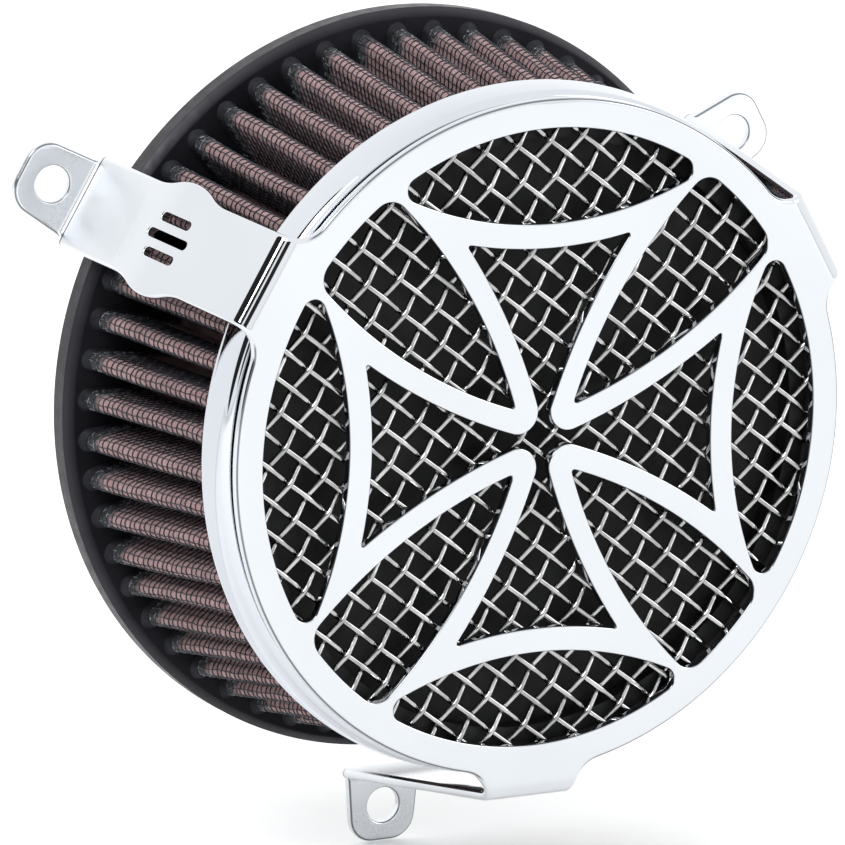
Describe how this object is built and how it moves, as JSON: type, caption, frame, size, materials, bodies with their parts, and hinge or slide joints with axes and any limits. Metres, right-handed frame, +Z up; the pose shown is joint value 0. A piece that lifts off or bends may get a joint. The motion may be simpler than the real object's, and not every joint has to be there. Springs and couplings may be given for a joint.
{
  "type": "air filter",
  "caption": "Round tapered pleated air filter with a rubber flange, under a folded chromed cover whose pierced face shows a woven wire mesh and whose legs end in bolt feet.",
  "frame": {"origin": "centre of the circle of foot holes, on the mounting plane where the feet and the flange's back face rest", "axes": "+Y points out of the outlet, towards the engine, so the pierced face looks along -Y; +Z is up and +X is to the right as seen from the face"},
  "size_m": [0.2096, 0.076, 0.2108],
  "materials": {
    "plate": "polished chrome plating, slightly rounded edges",
    "wire": "bright drawn stainless wire",
    "rim": "satin black binding ring",
    "trim": "polished chrome, spun ring",
    "dish": "black, faintly textured",
    "potting": "black cast urethane",
    "gauze": "dark epoxy-coated wire gauze, semi-gloss",
    "cotton": "oiled cotton gauze, dusty red-brown",
    "clip": "plain folded strip",
    "flange": "charcoal moulded urethane, satin"
  },
  "bodies": {
    "filter": {"trim_ring": "trim", "front_dish": "dish", "front_potting": "potting", "outer_screen": "gauze", "pleated_media": "cotton", "inner_screen": "gauze", "seam_clip": "clip", "base_flange": "flange"},
    "cover": {"face_plate": "plate", "mesh_warp_wires": "wire", "mesh_weft_wires": "wire", "mesh_rim": "rim"}
  },
  "joints": [
    {"name": "cover_lift", "type": "slide", "parent": "filter", "child": "cover", "axis": [0, -1, 0], "range_m": [0, 0.09]}
  ]
}
